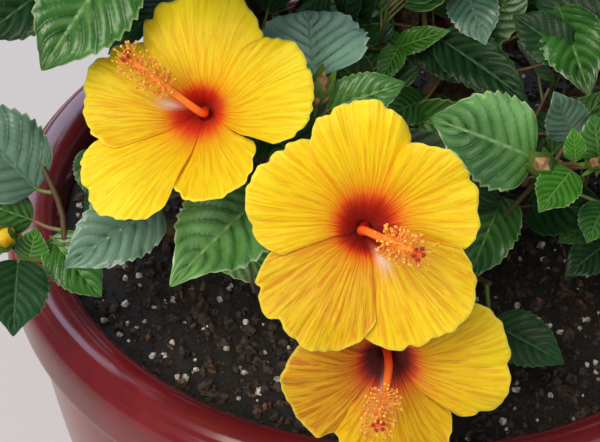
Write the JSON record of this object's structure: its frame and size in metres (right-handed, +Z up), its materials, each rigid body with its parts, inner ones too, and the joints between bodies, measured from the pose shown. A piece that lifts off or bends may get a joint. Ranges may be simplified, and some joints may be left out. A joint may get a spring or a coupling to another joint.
{
  "type": "potted hibiscus shrub",
  "caption": "Potted garden shrub with toothed glossy leaves and large yellow red-eyed blooms, growing from soil in a round glazed planter with a rolled lip.",
  "frame": {"origin": "middle of the planter's flat underside", "axes": "+Z up the planter's axis, -Y towards the open side of the crown where the blooms face, +X to the right of it"},
  "size_m": [0.5486, 0.5628, 0.7386],
  "materials": {
    "glaze": "glossy oxblood glaze on stoneware",
    "soil": "moist dark potting mix with perlite and bark",
    "bark": "matt grey-brown bark",
    "foliage": "glossy toothed leaves, paler below",
    "petals": "satin yellow petals with a deep red eye"
  },
  "bodies": {
    "root": {"pot": "glaze", "soil": "soil", "trunk": "bark", "bough_left": "bark", "bough_front_left": "bark", "bough_front": "bark", "bough_front_low": "bark", "bough_right_front": "bark", "bough_inner": "bark", "bough_upper_left": "bark", "bough_left_back": "bark", "bough_right": "bark", "bough_right_back": "bark", "bough_back": "bark", "bough_back_left": "bark", "bough_right_low": "bark", "bough_right_side": "bark", "bough_back_right": "bark", "bough_back_low": "bark", "leader": "bark", "bough_upper_right": "bark", "bough_upper_back": "bark", "leaves_left": "foliage", "leaves_front_left": "foliage", "leaves_front": "foliage", "leaves_low_right": "foliage", "leaves_right_front": "foliage", "leaves_inner": "foliage", "leaves_upper_left": "foliage", "leaves_left_back": "foliage", "leaves_right": "foliage", "leaves_right_back": "foliage", "leaves_back": "foliage", "leaves_back_left": "foliage", "leaves_right_low": "foliage", "leaves_right_side": "foliage", "leaves_back_right": "foliage", "leaves_back_low": "foliage", "leaves_top": "foliage", "leaves_upper_right": "foliage", "leaves_upper_back": "foliage", "bloom_upper": "petals", "bloom_middle": "petals", "bloom_lower": "petals", "bloom_right": "petals", "bloom_back": "petals", "bloom_back_left": "petals", "bloom_top": "petals"}
  },
  "joints": []
}
